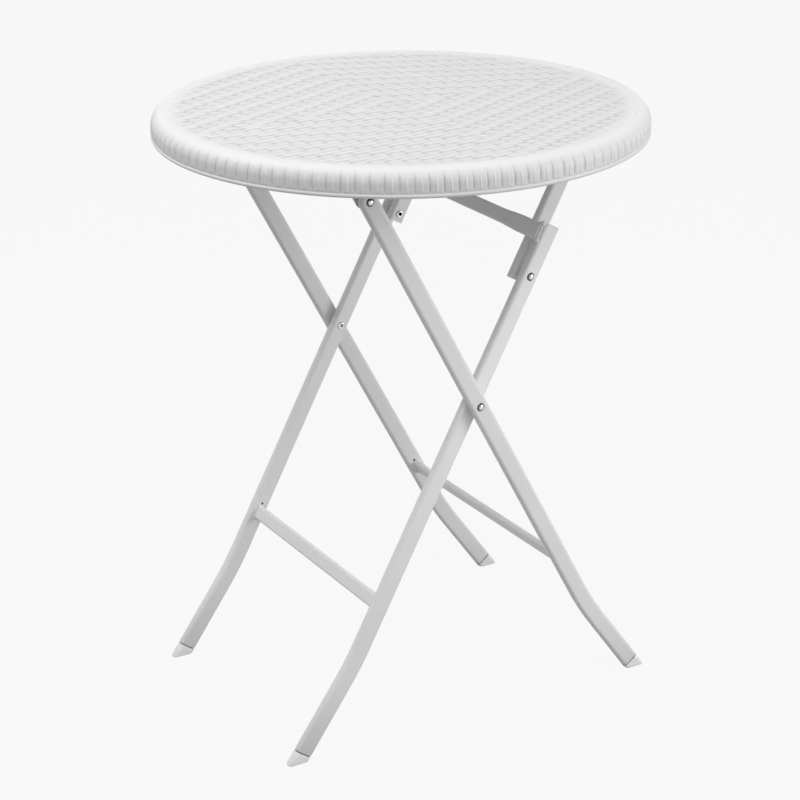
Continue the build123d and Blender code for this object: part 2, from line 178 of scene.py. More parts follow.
class StageSettings(bpy.types.PropertyGroup):
    azimuth: bpy.props.FloatProperty(
        name="Azimuth", description="Turn of the camera about the table",
        subtype="ANGLE", default=math.radians(59.39))
    elevation: bpy.props.FloatProperty(
        name="Elevation", description="Height angle of the camera",
        subtype="ANGLE", default=math.radians(21.79))
    roll: bpy.props.FloatProperty(
        name="Roll", description="Tilt of the camera",
        subtype="ANGLE", default=math.radians(0.566))
    distance: bpy.props.FloatProperty(
        name="Distance", description="From the aim point to the camera",
        unit="LENGTH", default=2.7601)
    aim_height: bpy.props.FloatProperty(
        name="Aim height", description="Height of the aim point", unit="LENGTH", default=0.3657)
    side_step: bpy.props.FloatProperty(
        name="Side step", description="Sideways place of the camera",
        unit="LENGTH", default=-0.00426)
    lens: bpy.props.FloatProperty(
        name="Lens", description="Focal length on a 36 mm sensor, in millimetres", default=98.18)
    backdrop: bpy.props.FloatProperty(
        name="Backdrop", description="Brightness of the pale background",
        min=0, max=1, default=0.95)
    floor_evenness: bpy.props.FloatProperty(
        name="Floor evenness", description="How far the floor hides its shadows",
        subtype="FACTOR", min=0, max=1, default=0.965)
    floor_colour: bpy.props.FloatVectorProperty(
        name="Floor colour", description="Light that the floor throws back",
        subtype="COLOR", min=0, max=1, default=(0.35, 0.35, 0.35))
    overhead_power: bpy.props.FloatProperty(
        name="Overhead light", description="Power of the large softbox overhead",
        unit="POWER", default=8.2)
    high_left_power: bpy.props.FloatProperty(
        name="High left light", description="Power of the softbox high at the left",
        unit="POWER", default=18.3)
    right_power: bpy.props.FloatProperty(
        name="Right light", description="Power of the low softbox at the right",
        unit="POWER", default=19.6)
    front_power: bpy.props.FloatProperty(
        name="Front light", description="Power of the high softbox in front",
        unit="POWER", default=16.5)
    ambient: bpy.props.FloatProperty(
        name="Ambient", description="Strength of the even studio light", min=0, default=0.37)


# Node trees


class Field:
    """A value in a node tree that can be written in sums."""

    def __init__(self, build, socket):
        self.build, self.socket = build, socket

    def __add__(self, other):
        return self.build.math("ADD", self, other)

    def __sub__(self, other):
        return self.build.math("SUBTRACT", self, other)

    def __mul__(self, other):
        return self.build.math("MULTIPLY", self, other)

    def __truediv__(self, other):
        return self.build.math("DIVIDE", self, other)

    def __mod__(self, other):
        return self.build.math("MODULO", self, other)

    def __abs__(self):
        return self.build.math("ABSOLUTE", self)


class Tree:
    """Adds nodes to a tree and joins them."""

    def __init__(self, tree):
        self.tree = tree

    def add(self, kind, inputs=None, **settings):
        """A new node with its settings, and with its inputs joined or set."""
        node = self.tree.nodes.new(kind)
        for key, value in settings.items():
            setattr(node, key, value)
        for key, value in (inputs or {}).items():
            if isinstance(value, Field):
                self.tree.links.new(value.socket, node.inputs[key])
            else:
                node.inputs[key].default_value = value
        return node

    def get(self, kind, inputs=None, output=0, **settings):
        """One output of a new node."""
        return Field(self, self.add(kind, inputs, **settings).outputs[output])

    def outputs(self, kind, inputs=None, **settings):
        """Every output of a new node, by name."""
        node = self.add(kind, inputs, **settings)
        return {output.name: Field(self, output) for output in node.outputs}

    def math(self, operation, *values):
        return self.get("ShaderNodeMath", dict(enumerate(values)), operation=operation)

    def clamp(self, value, low, high):
        return self.math("MINIMUM", self.math("MAXIMUM", value, low), high)

    def split(self, vector):
        """The three parts of a vector."""
        return self.outputs("ShaderNodeSeparateXYZ", {0: vector}).values()

    def join(self, x=0.0, y=0.0, z=0.0):
        """A vector from its three parts."""
        return self.get("ShaderNodeCombineXYZ", {0: x, 1: y, 2: z})

    def named(self, name, kind):
        """A stored attribute."""
        return self.get("GeometryNodeInputNamedAttribute", {"Name": name}, data_type=kind)

    def shape_of(self, helper):
        """The mesh of a helper object."""
        return self.get("GeometryNodeObjectInfo", {"Object": helper}, "Geometry",
                        transform_space="ORIGINAL")

    def at_point(self, helper, index, name=None, kind="FLOAT_VECTOR"):
        """The position of one point of a helper mesh, or what is stored there by name."""
        field = self.named(name, kind) if name else self.get("GeometryNodeInputPosition")
        return self.get("GeometryNodeSampleIndex", {
            "Geometry": self.shape_of(helper), "Value": field, "Index": index},
            data_type=kind, domain="POINT")

    def marked(self, mesh, hollow):
        """Store each point's painted shade, by which the finish darkens it; a value below nought is
        a painted highlight.
        """
        return self.get("GeometryNodeStoreNamedAttribute", {
            "Geometry": mesh, "Name": "hollow", "Value": hollow},
            data_type="FLOAT", domain="POINT")

    def numbered_grid(self, spans, corners):
        """A grid to be swept, with the span and the section corner that each point is at."""
        grid = self.get("GeometryNodeMeshGrid", {
            "Size X": 1.0, "Size Y": 1.0, "Vertices X": spans + 1.0, "Vertices Y": corners + 1.0})
        x, y, _ = self.split(self.get("GeometryNodeInputPosition"))
        span = self.math("ROUND", (x + 0.5) * spans)
        return grid, span, self.math("ROUND", (y + 0.5) * corners) % corners

    def swept(self, grid, place, hollow, seam):
        """A grid with its points in their places, its painted shade stored and its seams closed."""
        moved = self.get("GeometryNodeSetPosition", {
            "Geometry": self.marked(grid, hollow), "Position": place})
        return self.get("GeometryNodeMergeByDistance", {"Geometry": moved, "Distance": seam})

    def on_points(self, places, shape, **lie):
        """Copies of a shape on the points of a helper mesh."""
        points = self.get("GeometryNodeMeshToPoints", {"Mesh": self.shape_of(places)})
        return self.get("GeometryNodeInstanceOnPoints", {
            "Points": points, "Instance": shape, **lie})

    def end(self, mesh, material, crease):
        """End a geometry tree with real instances, smooth faces and a material."""
        mesh = self.get("GeometryNodeRealizeInstances", {"Geometry": mesh})
        mesh = self.get("GeometryNodeSetShadeSmooth", {"Geometry": mesh})
        if crease:
            angle = self.get("GeometryNodeInputMeshEdgeAngle")
            mesh = self.get("GeometryNodeSetShadeSmooth", {
                "Geometry": mesh, "Selection": self.math("GREATER_THAN", angle, crease),
                "Shade Smooth": False}, domain="EDGE")
        mesh = self.get("GeometryNodeSetMaterial", {"Geometry": mesh, "Material": material})
        self.add("NodeGroupOutput", {0: mesh})


def emptied(owner):
    """The cleared node tree of a world or a material."""
    owner.use_nodes = True
    owner.node_tree.nodes.clear()
    return Tree(owner.node_tree)


SOCKETS = {
    float: "NodeSocketFloat",
    int: "NodeSocketInt",
    bpy.types.Object: "NodeSocketObject",
    bpy.types.Material: "NodeSocketMaterial",
}


def new_object(name, data):
    """A new object in the scene."""
    made = bpy.data.objects.new(name, data)
    bpy.context.scene.collection.objects.link(made)
    return made


def helper_mesh(name, points, faces=(), **stored):
    """A mesh that a geometry tree reads, with numbers or vectors stored for its points."""
    mesh = bpy.data.meshes.new(name)
    mesh.from_pydata(points, (), faces)
    for key, values in stored.items():
        if isinstance(values[0], (int, float)):
            mesh.attributes.new(key, "FLOAT", "POINT").data.foreach_set("value", values)
        else:
            flat = [number for vector in values for number in vector]
            mesh.attributes.new(key, "FLOAT_VECTOR", "POINT").data.foreach_set("vector", flat)
    return new_object(name, mesh)


def drop(helper):
    """Take away a helper mesh."""
    mesh = helper.data
    bpy.data.objects.remove(helper)
    bpy.data.meshes.remove(mesh)


def keep_result(piece, modifier):
    """Keep what a modifier makes as the plain mesh of its object."""
    bpy.context.view_layer.update()
    seen = piece.evaluated_get(bpy.context.evaluated_depsgraph_get())
    mesh = bpy.data.meshes.new_from_object(seen)
    piece.modifiers.remove(modifier)
    before, piece.data = piece.data, mesh
    bpy.data.meshes.remove(before)
    mesh.name = piece.name


def made_by(fill, name, finish, values, crease=None):
    """Fill a geometry tree that has a named input for each value, and keep what it makes."""
    values = {**values, "Material": finish_named(finish)}
    tree = bpy.data.node_groups.new(name, "GeometryNodeTree")
    identifiers = {}
    for key, value in values.items():
        socket = tree.interface.new_socket(
            name=key, in_out="INPUT", socket_type=SOCKETS[type(value)])
        identifiers[key] = socket.identifier
    tree.interface.new_socket(name="Geometry", in_out="OUTPUT", socket_type="NodeSocketGeometry")
    build = Tree(tree)
    given = build.outputs("NodeGroupInput")
    build.end(fill(build, given), given["Material"], crease)
    piece = new_object(name, bpy.data.meshes.new(name))
    modifier = piece.modifiers.new("Make", "NODES")
    modifier.node_group = tree
    for key, value in values.items():
        modifier[identifiers[key]] = value
    keep_result(piece, modifier)
    for value in values.values():
        if isinstance(value, bpy.types.Object):
            drop(value)
    return piece


def settle(piece, body, finish, *nodes):
    """Put a piece on its body, in place of the nodes that it stands for; the finish that it is
    given is not used.
    """
    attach(piece, body)
    if nodes:
        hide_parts(*nodes)


def facing_out(mesh, merge=None):
    """Turn every face of a closed mesh outwards, with its doubles merged where asked for."""
    work = bmesh.new()
    work.from_mesh(mesh)
    if merge:
        bmesh.ops.remove_doubles(work, verts=work.verts, dist=merge)
    bmesh.ops.recalc_face_normals(work, faces=work.faces)
    work.to_mesh(mesh)
    work.free()


# Finishes

# By material slot: the setting of the colour, the scale of the grain, the scale and spread of the
# tone, the gloss and its spread, the strength and depth of the bump, the strength of the painted
# shade or the scale, spread and lowest tone of a spangle, and what else the shader is set to
FINISHES = {
    # Moulded plastic with a satin grain
    "moulded_top": {
        "colour": "table_top_settings.colour", "grain": 1400, "tone": (9, 0.05),
        "gloss": (0.40, 0.10), "bump": (0.10, 0.0002), "hollow": 0.75,
        "shader": {"Specular IOR Level": 0.45}},
    # Powder coat on steel: a fine orange peel under a satin gloss
    "frame_coat": {
        "colour": "table_frame_settings.coat_colour", "grain": 520, "tone": (14, 0.05),
        "gloss": (0.36, 0.10), "bump": (0.16, 0.0003), "hollow": 0.85,
        "shader": {"Specular IOR Level": 0.3}},
    # Plain moulded plastics with a faint grain
    "foot_plastic": {
        "colour": "table_frame_settings.plastic_colour", "grain": 1100, "tone": (40, 0.06),
        "gloss": (0.36, 0.10), "bump": (0.08, 0.0002), "hollow": 0.85},
    "spacer_plastic": {
        "colour": "table_frame_settings.nylon_colour", "grain": 1100, "tone": (40, 0.06),
        "gloss": (0.30, 0.10), "bump": (0.08, 0.0002), "hollow": 0.85},
    # Bright plated steel with fine wear, and the painted reflections and shade that its shapes
    # carry
    "rivet_metal": {
        "colour": "table_frame_settings.rivet_colour", "grain": 2600, "tone": (220, 0.25),
        "gloss": (0.13, 0.10), "bump": (0.05, 0.0001), "hollow": 0.94,
        "shader": {"Metallic": 1.0}},
    # Zinc plate with a soft spangle
    "zinc_steel": {
        "colour": "table_frame_settings.zinc_colour", "grain": 1800, "tone": (60, 0.12),
        "gloss": (0.42, 0.20), "bump": (0.06, 0.0001), "spangle": (260, 0.22, 0.88),
        "shader": {"Metallic": 1.0}},
}


def grain_group():
    """Fine random relief and soft tone changes, shared by every finish of the table."""
    tree = bpy.data.node_groups.get("Fine grain")
    if tree:
        return tree
    tree = bpy.data.node_groups.new("Fine grain", "ShaderNodeTree")
    sockets = {
        "INPUT": ("Grain Scale", "Tone Scale", "Tone Spread", "Gloss", "Gloss Spread"),
        "OUTPUT": ("Height", "Tone", "Roughness")}
    for in_out, names in sockets.items():
        for name in names:
            tree.interface.new_socket(name=name, in_out=in_out, socket_type="NodeSocketFloat")
    build = Tree(tree)
    given = build.outputs("NodeGroupInput")
    place = build.get("ShaderNodeTexCoord", output="Object")
    fine = build.get("ShaderNodeTexNoise", {
        "Vector": place, "Scale": given["Grain Scale"], "Detail": 2.0})
    soft = build.get("ShaderNodeTexNoise", {
        "Vector": place, "Scale": given["Tone Scale"], "Detail": 3.0})
    spread = soft - 0.5
    build.add("NodeGroupOutput", {
        "Height": fine,
        "Tone": spread * given["Tone Spread"] + 1.0,
        "Roughness": spread * given["Gloss Spread"] + given["Gloss"]})
    return tree


def finish_shade(build, recipe):
    """Painted shade and highlights as the mesh stores them, or the tone that a spangle makes."""
    if "hollow" in recipe:
        depth = build.get("ShaderNodeAttribute", output="Fac", attribute_name="hollow")
        return depth * -recipe["hollow"] + 1.0
    scale, spread, lowest = recipe["spangle"]
    place = build.get("ShaderNodeTexCoord", output="Object")
    flakes = build.get("ShaderNodeTexVoronoi", {"Vector": place, "Scale": scale}, "Color")
    return build.get("ShaderNodeSeparateColor", {0: flakes}) * spread + lowest


def finish_named(name):
    """One of the table's finishes, made when it is first asked for."""
    ready = bpy.data.materials.get(name)
    if ready and ready.get("table_finish"):
        return ready
    if ready:
        ready.name = name + "_packed"
    recipe = FINISHES[name]
    colour = bpy.context.scene.path_resolve(recipe["colour"])
    finish = bpy.data.materials.new(name)
    finish["table_finish"] = True
    build = emptied(finish)
    grain = build.outputs("ShaderNodeGroup", {
        "Grain Scale": recipe["grain"],
        "Tone Scale": recipe["tone"][0], "Tone Spread": recipe["tone"][1],
        "Gloss": recipe["gloss"][0], "Gloss Spread": recipe["gloss"][1]}, node_tree=grain_group())
    tinted = build.get("ShaderNodeMix", {
        "Factor": 1.0, "A": (*colour, 1.0), "B": grain["Tone"] * finish_shade(build, recipe)},
        "Result", data_type="RGBA", blend_type="MULTIPLY")
    strength, distance = recipe["bump"]
    relief = build.get("ShaderNodeBump", {
        "Strength": strength, "Distance": distance, "Height": grain["Height"]})
    shader = build.get("ShaderNodeBsdfPrincipled", {
        "Base Color": tinted, "Roughness": grain["Roughness"], "Normal": relief,
        **recipe.get("shader", {})})
    build.add("ShaderNodeOutputMaterial", {"Surface": shader})
    return finish


def dress(node_names, finish):
    """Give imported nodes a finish."""
    material = finish_named(finish)
    for name in node_names:
        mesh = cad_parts[name].data
        mesh.materials.clear()
        mesh.materials.append(material)


def both(*names):
    """Left and right names of paired pieces."""
    return [f"{name}_{side}" for name in names for side in SIDES]


# Woven top


def weave_nodes(build, given):
    """A round panel whose strands go over two and under two, mirrored about both middles."""
    flank, strand_round, row_round, row_crown = 1.5, 1.4, 4.0, 0.25
    pit_start, pit_painted_shade, painted_shade_curve, painted_shade_slope = 0.5, 4.0, 1.35, 0.2
    m = build.math
    grid = build.get("GeometryNodeMeshGrid", {
        "Size X": given["Width"], "Size Y": given["Length"],
        "Vertices X": given["Columns"], "Vertices Y": given["Rows"]})
    grid = build.get("GeometryNodeSetPosition", {
        "Geometry": grid, "Offset": build.join(y=given["Row Middle"])})
    x, y, _ = build.split(build.get("GeometryNodeInputPosition"))
    reach = m("SQRT", x * x + y * y)

    # Faces wholly outside the circle go, and the rest of the outside points move onto it
    inside = build.get("GeometryNodeFieldOnDomain", {
        0: m("LESS_THAN", reach, given["Radius"])}, data_type="FLOAT", domain="FACE")
    disc = build.get("GeometryNodeDeleteGeometry", {
        "Geometry": grid, "Selection": m("LESS_THAN", inside, 0.01)}, domain="FACE")
    pull = m("MINIMUM", given["Radius"] / reach, 1.0)
    disc = build.get("GeometryNodeSetPosition", {
        "Geometry": disc, "Position": build.join(x * pull, y * pull)})

    # Strands run along Y and rows along X, counted out from the middle
    strand = abs(x) / given["Strand Pitch"]
    row = abs(y - given["Row Middle"]) / given["Row Pitch"]
    across_strand = abs(m("FRACT", strand) * 2.0 - 1.0)
    across_row = abs(m("FRACT", row) * 2.0 - 1.0)
    quarter = math.pi / 2
    strand_wave = m("COSINE", (m("FLOOR", strand) + row) * quarter + quarter)
    row_wave = m("COSINE", (strand + m("FLOOR", row)) * quarter - quarter)
    half_lift = given["Lift"] * 0.5
    strand_edge = m("POWER", across_strand, strand_round) * given["Crown"]
    row_edge = m("POWER", across_row, row_round) * (given["Crown"] * row_crown) + given["Row Sink"]
    strand_top = build.clamp(strand_wave * flank, -1.0, 1.0) * half_lift - strand_edge
    row_top = build.clamp(row_wave * flank, -1.0, 1.0) * half_lift - row_edge
    sunk = m("MAXIMUM", strand_top, row_top) - half_lift

    # The weave dies out towards the plain border, and painted shade darkens it where it lies low,
    # its deepest pits most of all
    border = build.clamp((given["Radius"] - reach) / given["Fade"], 0.0, 1.0)
    sunk = sunk * m("SMOOTH_MIN", border, 1.0, 0.2)
    depth = sunk * -1.0 / (given["Lift"] + given["Crown"])
    pit = m("MAXIMUM", depth - pit_start, 0.0)
    hollow = pit * pit_painted_shade + depth * (depth * painted_shade_curve + painted_shade_slope)
    return build.get("GeometryNodeSetPosition", {
        "Geometry": build.marked(disc, hollow), "Offset": build.join(z=given["Level"] + sunk)})


def close_below(mesh, level):
    """Close an open panel with a wall and a flat underside."""
    work = bmesh.new()
    work.from_mesh(mesh)
    border = [edge for edge in work.edges if edge.is_boundary]
    walls = bmesh.ops.extrude_edge_only(work, edges=border)["geom"]
    for vert in walls:
        if isinstance(vert, bmesh.types.BMVert):
            vert.co.z = level
    middle = work.verts.new((0, 0, level))
    work.verts.index_update()
    border = [e for e in walls if isinstance(e, bmesh.types.BMEdge) and e.is_boundary]
    for edge in sorted(border, key=lambda edge: sorted(vert.index for vert in edge.verts)):
        work.faces.new((*edge.verts, middle))
    bmesh.ops.recalc_face_normals(work, faces=work.faces)
    for face in work.faces:
        face.smooth = face.normal.z > 0.3
    work.to_mesh(mesh)
    work.free()


def rim_outline(skin):
    """The rim's section as (radius, height, share of wrap), and the way out at each point."""
    edge, top, low = TOP_RADIUS - RIM_INSET, TOP_HIGH.z, TOP_LOW.z
    points = [(edge - inset * MM, top - fall * MM, 0)
              for inset, fall in ((26, 5), (18, 0.5), (16.8, 0.015))]

    # The rounding, on which the wrapped bands rise step by step
    steps, bare_steps, rising_steps = 12, 3, 6
    for step in range(steps + 1):
        turn = math.radians(90) * step / steps
        wrap = min(1, max(0, step - bare_steps) / rising_steps)
        reach = RIM_ROUNDING - skin * wrap
        points.append((edge - RIM_ROUNDING + reach * math.sin(turn),
                       top - RIM_ROUNDING + reach * math.cos(turn), wrap))

    # The side, the groove, the plain lip and the way back inside
    points += [(edge - skin, low + rise * MM, wrap)
               for rise, wrap in ((11, 1), (7.4, 1), (6.8, 0.7))]
    points += [(edge - inset * MM, low + rise * MM, 0) for inset, rise in ((1.2, 6.0), (1.3, 5.4))]
    steps, first_turn, whole_turn = 8, 62, 152
    for step in range(steps + 1):
        turn = math.radians(first_turn - whole_turn * step / steps)
        points.append((edge - LIP_RADIUS + LIP_RADIUS * math.cos(turn),
                       low + LIP_RADIUS + LIP_RADIUS * math.sin(turn), 0))
    points += [(edge - inset * MM, low + rise * MM, 0)
               for inset, rise in ((9, 0), (14, 0.2), (24, 12))]
    outward = []
    for number in range(len(points)):
        before, after = points[number - 1], points[(number + 1) % len(points)]
        outward.append(Vector((before[1] - after[1], 0, after[0] - before[0])).normalized())
    return points, outward


def band_outline(groove, ridge):
    """One rim band as (share of its width, height), from one groove over its fold to the next."""
    half = [(0, -groove), (0.035, -groove * 0.55), (0.075, -groove * 0.1), (0.2, 0), (0.4, 0),
            (0.455, ridge * 0.08), (0.485, ridge)]
    return half + [(1 - share, height) for share, height in reversed(half[1:])]


def rim_nodes(build, given):
    """A section swept round the top, with one band after another raised on it."""
    least, most, ridge_painted_highlight, groove_painted_shade = 0.75, 1.15, -380.0, -240.0
    m = build.math
    grid, column, corner = build.numbered_grid(
        given["Bands"] * given["Band Points"], given["Section Points"])
    band = m("FLOOR", (column + 0.5) / given["Band Points"]) % given["Bands"]
    radius, _, level = build.split(build.at_point(given["Section"], corner))
    out, _, rise = build.split(build.at_point(given["Section"], corner, "outward"))
    wrapped = build.at_point(given["Section"], corner, "wrap", "FLOAT")
    share, height, _ = build.split(build.at_point(given["Band"], column % given["Band Points"]))
    uneven = build.get("FunctionNodeRandomValue", {
        2: least, 3: most, "ID": band, "Seed": given["Seed"]}, 1, data_type="FLOAT")
    height = height * uneven
    sunk = m("MINIMUM", height, 0.0) * wrapped
    raised = m("MAXIMUM", height, 0.0) * build.clamp(wrapped * 3.0 - 2.0, 0.0, 1.0)
    relief = sunk + raised
    turn = (band + share) * (2 * math.pi) / given["Bands"]
    radius = out * relief + radius
    place = build.join(
        radius * m("COSINE", turn), radius * m("SINE", turn), rise * relief + level)
    # Painted shade darkens the grooves between bands, and a painted highlight lightens each fold
    # line
    return build.swept(grid, place, raised * ridge_painted_highlight + sunk * groove_painted_shade, FINE_SEAM)


class TABLE_OT_woven_panel(bpy.types.Operator):
    """Make the woven face of the top"""

    bl_idname = "table.woven_panel"
    bl_label = "Woven panel"

    def execute(self, context):
        top = context.scene.table_top_settings
        columns_each, rows_each = 7, 6
        reach = top.panel_radius + abs(top.row_middle)
        columns = 2 * math.ceil(top.panel_radius / top.strand_pitch * columns_each) + 2
        rows = 2 * math.ceil(reach / top.row_pitch * rows_each) + 2
        panel = made_by(weave_nodes, "woven_panel", "moulded_top", {
            "Radius": top.panel_radius,
            "Level": TOP_HIGH.z,
            "Strand Pitch": top.strand_pitch,
            "Row Pitch": top.row_pitch,
            "Row Middle": top.row_middle,
            "Lift": top.weave_lift,
            "Crown": top.strand_crown,
            "Row Sink": top.row_sink,
            "Fade": top.weave_fade,
            "Columns": columns,
            "Rows": rows,
            "Width": (columns - 1) * top.strand_pitch / columns_each,
            "Length": (rows - 1) * top.row_pitch / rows_each})
        close_below(panel.data, TOP_HIGH.z - PANEL_DEPTH)
        settle(panel, "top", "moulded_top", "table_top")
        return {"FINISHED"}


class TABLE_OT_wrapped_rim(bpy.types.Operator):
    """Make the rounded rim with its wrapped bands and plain lip"""

    bl_idname = "table.wrapped_rim"
    bl_label = "Wrapped rim"

    def execute(self, context):
        top = context.scene.table_top_settings
        points, outward = rim_outline(top.band_ridge * RIDGE_ROOM)
        band = band_outline(top.band_groove, top.band_ridge)
        rim = made_by(rim_nodes, "wrapped_rim", "moulded_top", {
            "Section": helper_mesh(
                "rim_section", [(radius, 0, height) for radius, height, share in points],
                outward=outward, wrap=[share for radius, height, share in points]),
            "Band": helper_mesh("rim_band", [(share, height, 0) for share, height in band]),
            "Section Points": len(points),
            "Band Points": len(band),
            "Bands": top.rim_bands,
            "Seed": RIM_SEED})
        facing_out(rim.data)
        settle(rim, "top", "moulded_top")
        return {"FINISHED"}


class TABLE_OT_top_pan(bpy.types.Operator):
    """Make the dimpled underside of the top"""

    bl_idname = "table.top_pan"
    bl_label = "Underside"

    def execute(self, context):
        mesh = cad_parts["table_top"].data.copy()
        mesh.name = "top_pan"
        pan = new_object("top_pan", mesh)
        inner_edge = TOP_RADIUS - PAN_INSET
        work = bmesh.new()
        work.from_mesh(mesh)
        bmesh.ops.remove_doubles(work, verts=work.verts, dist=FINE_SEAM)
        for vert in work.verts:
            reach = math.hypot(vert.co.x, vert.co.y)
            vert.co.z = min(vert.co.z, TOP_HIGH.z - PAN_DEPTH)
            if reach > inner_edge:
                vert.co.x *= inner_edge / reach
                vert.co.y *= inner_edge / reach
                vert.co.z = max(vert.co.z, TOP_LOW.z + PAN_LIFT)
        bmesh.ops.dissolve_degenerate(work, edges=work.edges, dist=FINE_SEAM)
        work.to_mesh(mesh)
        work.free()
        mesh.materials.clear()
        mesh.materials.append(finish_named("moulded_top"))
        settle(pan, "top", "moulded_top")
        return {"FINISHED"}


# Tubes and feet


def tube_nodes(build, given):
    """A section carried along a route whose points say how the section lies there."""
    grid, stop, corner = build.numbered_grid(given["Route Points"] - 1.0, given["Section Points"])
    wide, thick, _ = build.split(build.at_point(given["Section"], corner))
    place = build.at_point(given["Route"], stop)
    for name, amount in (("side", wide), ("forward", abs(wide)), ("depth", thick)):
        way = build.at_point(given["Route"], stop, name)
        place = build.get("ShaderNodeVectorMath", {0: way, 1: amount, 2: place},
                          operation="MULTIPLY_ADD")
    # The painted shade that each stop of the route gives
    shade = build.at_point(given["Route"], stop, "shade", "FLOAT")
    return build.swept(grid, place, shade, TUBE_SEAM)


def tube_ring(width, thick):
    """Points round a flat-sided section, close together at its rounded corners."""
    radius = thick * CORNER_SHARE
    steps = 5
    easing = 0.5 * MM
    ring = []
    for quarter, (right, up) in enumerate(((1, 1), (-1, 1), (-1, -1), (1, -1))):
        middle = Vector((right * (width / 2 - radius), up * (thick / 2 - radius)))
        turns = [math.radians(90) * (quarter + step / steps) for step in range(steps + 1)]
        arc = [middle + radius * Vector((math.cos(turn), math.sin(turn))) for turn in turns]
        first, last = (Vector((-math.sin(turn), math.cos(turn))) for turn in (turns[0], turns[-1]))
        ring += [arc[0] - first * easing, *arc, arc[-1] + last * easing]
    return ring


def in_space(x, point):
    """A side-view point or direction at a place across the width."""
    return Vector((x, point.x, point.y))


def across(direction):
    """The direction square to a tube in the side view."""
    return in_space(0, Vector((direction.y, -direction.x)))


def stop_at(place, side=Vector(), depth=Vector(), forward=Vector(), shade=0.0):
    """One stop of a tube's route: its place, how its section lies and how much painted shade it
    has.
    """
    return place, side, depth, forward, shade


def tube(name, stops, ring, finish, body, node):
    """Make a closed tube from its stops and its section, in place of a node."""
    places, side, depth, forward, shade = zip(*stops)
    piece = made_by(tube_nodes, name, finish, {
        "Route": helper_mesh("route", places, side=side, depth=depth, forward=forward, shade=shade),
        "Section": helper_mesh("section", [(*point, 0) for point in ring]),
        "Route Points": len(stops),
        "Section Points": len(ring)}, TUBE_CREASE)
    facing_out(piece.data)
    settle(piece, body, finish, node)


def leg_path(up, foot_side):
    """Points down the bend of a leg in the side view, each with the tube's direction there."""
    down = -up
    bend = SCISSOR + down * ((SCISSOR.y - FLARE_HEIGHT) / up.y)
    flare = Vector((foot_side * math.sin(FLARE_ANGLE), -math.cos(FLARE_ANGLE)))
    cut = bend + flare * ((FOOT_CUT - bend.y) / flare.y)
    turn = down.angle(flare)
    start = bend - down * (BEND_RADIUS * math.tan(turn / 2))
    inward = (flare - down * math.cos(turn)) / math.sin(turn)
    path = []
    steps = 12
    for step in range(steps + 1):
        angle = turn * step / steps
        place = start + BEND_RADIUS * (down * math.sin(angle) + inward * (1 - math.cos(angle)))
        path.append((place, down * math.cos(angle) + inward * math.sin(angle)))
    path.append((cut, flare))
    return path


def path_stops(x, path):
    """Stops of a leg along its path, with a softened edge and painted shade at its cut lower end.
    """
    stops = [stop_at(in_space(x, place), across(way), DEPTH) for place, way in path]
    end, way = path[-1]
    cut, side = in_space(x, end), across(way)
    stops[-1] = stop_at(cut - in_space(0, way) * CUT_EASING, side, DEPTH)
    stops.append(stop_at(cut, side * CUT_SIDE, DEPTH * CUT_DEPTH, shade=0.6))
    stops.append(stop_at(cut, shade=1.0))
    return stops


def round_end(x, pivot, up):
    """Stops that close a tube with a half-round end about a pivot."""
    place, side, way = in_space(x, pivot), across(-up), in_space(0, up)
    turns = [math.radians(90 - 10 * step) for step in range(10)]
    return [stop_at(place, side * math.cos(turn), DEPTH, way * math.sin(turn)) for turn in turns]


def square_end(x, end, up):
    """Stops that close a tube with a square cut end, from the outside in."""
    place, side = in_space(x, end), across(-up)
    return [stop_at(place), stop_at(place, side * CUT_SIDE, DEPTH * CUT_DEPTH),
            stop_at(place - in_space(0, up) * CUT_EASING, side, DEPTH)]


def foot_stops(x, cut, flare):
    """Stops of a wedge foot: a recessed seam with painted shade, then the tube's outline down to
    the floor.
    """
    side, way = across(flare), in_space(0, flare)
    start = in_space(x, cut)
    stops = [stop_at(start, shade=1.0)]
    seam = ((0, 0.9, 1), (1.2, 0.9, 1), (1.25, 0.95, 0.6), (1.4, 0.985, 0.1), (1.8, 1.0, 0))
    for run, share, shade in seam:
        shrink = 1 - (1 - share) * LEG_WIDTH / LEG_THICK
        stops.append(stop_at(start + way * run * MM, side * share, DEPTH * shrink, shade=shade))
    floor_side = side - way * (side.z / way.z)
    for level, share in ((1.2, 1.0), (0.6, 0.99), (0.2, 0.97), (0, 0.93)):
        place = start + way * ((level * MM - start.z) / way.z)
        stops.append(stop_at(place, floor_side * share, DEPTH * share))
    stops.append(stop_at(place))
    return stops


def lie_of(up):
    """The ways along the width and through the depth of a cross piece between two legs."""
    return in_space(0, up), in_space(0, Vector((-up.y, up.x)))


def mirrored(centre, half):
    """Stops of a cross piece, from the (x, rise, side, depth) of one half from its end inwards."""
    return [stop_at(in_space(turn * x, centre) + rise, side, depth)
            for turn, run in ((-1, half), (1, reversed(half))) for x, rise, side, depth in run]


def bar_stops(centre, up, end):
    """Stops of a cross bar with a weld that flares out to the leg at each end."""
    side, depth = lie_of(up)
    none = Vector()
    half = [(end, none, none, none)]
    for run, share in ((0, 1.0), (0.25, 0.72), (0.8, 0.42), (1.6, 0.18), (2.6, 0.04), (3.4, 0.0)):
        grow_side = 1 + share * 2 * WELD_SIZE / BAR_WIDTH
        grow_depth = 1 + share * WELD_SIZE / BAR_THICK
        half.append((end - run * MM, none, side * grow_side, depth * grow_depth))
    return mirrored(centre, half)


